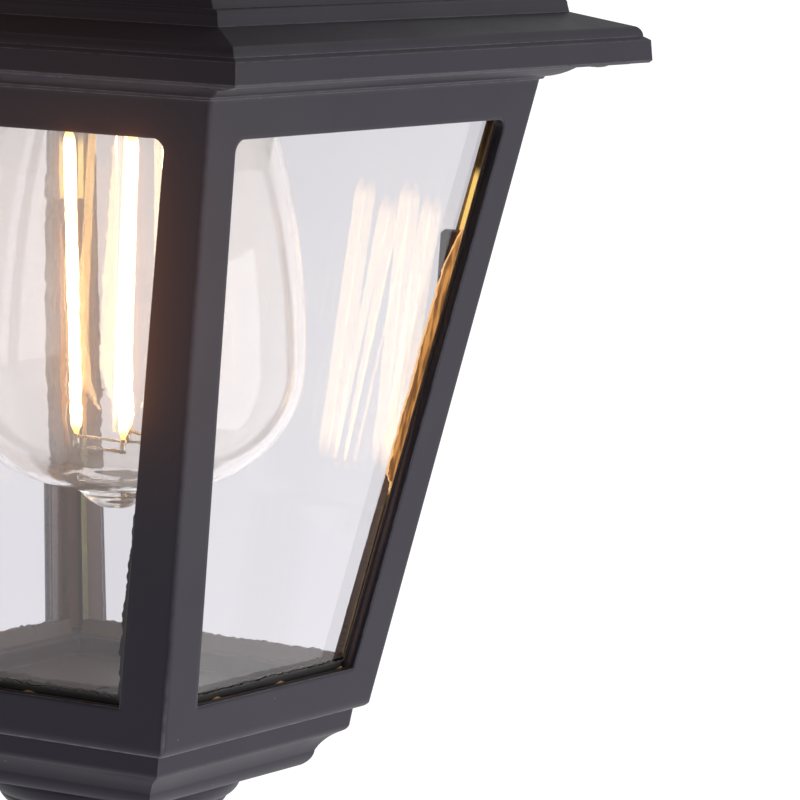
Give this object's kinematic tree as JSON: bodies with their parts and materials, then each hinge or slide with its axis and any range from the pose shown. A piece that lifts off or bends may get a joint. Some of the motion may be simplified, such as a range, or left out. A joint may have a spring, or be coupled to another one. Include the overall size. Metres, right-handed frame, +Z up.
{
  "type": "outdoor wall light",
  "caption": "Square tapered lantern with clear panes, stepped roof and a screw-in filament lamp, hanging from a swan-neck arm on a wall plate; the cage lowers to reach the lamp.",
  "frame": {"origin": "middle of the mounting strap's rear face, on the wall", "axes": "+Z up, +Y into the wall, the lantern hangs on the -Y side"},
  "size_m": [0.1398, 0.1899, 0.3277],
  "materials": {
    "powder_coat": "satin",
    "zinc_steel": "satin",
    "black_steel": "satin",
    "brass": "satin",
    "nickel_brass": "satin",
    "solder": "satin",
    "foam_gasket": "matte",
    "sealant": "satin",
    "pad": "satin",
    "pane_glass": "polished",
    "lamp_glass": "polished",
    "filament": "satin",
    "wire": "satin",
    "phenolic": "satin",
    "porcelain": "satin",
    "cap_insulator": "gloss",
    "terminal_nylon": "satin",
    "lead_brown": "satin",
    "lead_blue": "satin",
    "lead_green": "satin"
  },
  "bodies": {
    "bracket": {"mounting_strap": "zinc_steel", "plate_studs": "zinc_steel", "back_plate": "powder_coat", "plate_gasket": "foam_gasket", "cap_nuts": "black_steel", "terminal_block": "terminal_nylon", "terminal_screws": "brass", "earth_screw": "brass", "arm": "powder_coat", "arm_rosette": "powder_coat", "arm_lock_nut": "zinc_steel", "lead_live": "lead_brown", "lead_neutral": "lead_blue", "lead_earth": "lead_green", "arm_bush": "brass", "stem_nipple": "zinc_steel", "nipple_nut": "zinc_steel", "roof_cap": "powder_coat", "roof": "powder_coat", "roof_gasket": "foam_gasket", "holder_dome": "phenolic", "holder_body": "phenolic", "holder_insert": "porcelain", "holder_shell": "brass", "centre_contact": "brass"},
    "cage": {"cage_frame": "powder_coat", "cage_screws": "black_steel", "pane_clips": "powder_coat", "base_tray": "powder_coat", "finial": "powder_coat", "finial_stud": "zinc_steel", "setting_pads": "pad", "front_pane": "pane_glass", "front_seal": "sealant", "right_pane": "pane_glass", "right_seal": "sealant", "rear_pane": "pane_glass", "rear_seal": "sealant", "left_pane": "pane_glass", "left_seal": "sealant"},
    "lamp_tip": {"lamp_tip_contact": "solder", "lamp_insulator": "cap_insulator"},
    "lamp": {"lamp_cap": "nickel_brass", "lamp_glass": "lamp_glass", "lamp_stem": "lamp_glass", "filaments": "filament", "filament_wires": "wire"}
  },
  "joints": [
    {"name": "cage_drop", "type": "slide", "parent": "bracket", "child": "cage", "axis": [0, 0, -1], "range_m": [0, 0.12]},
    {"name": "lamp_travel", "type": "slide", "parent": "bracket", "child": "lamp_tip", "axis": [0, 0, -1], "range_m": [0, 0.0146]},
    {"name": "lamp_turn", "type": "hinge", "parent": "lamp_tip", "child": "lamp", "pos_m": [0, -0.12, -0.06], "axis": [0, 0, -1], "range_deg": [0, 1440]}
  ],
  "couplings": [
    {"joint": "lamp_travel", "follows": "lamp_turn", "m_per_rad": 0.00057757}
  ]
}
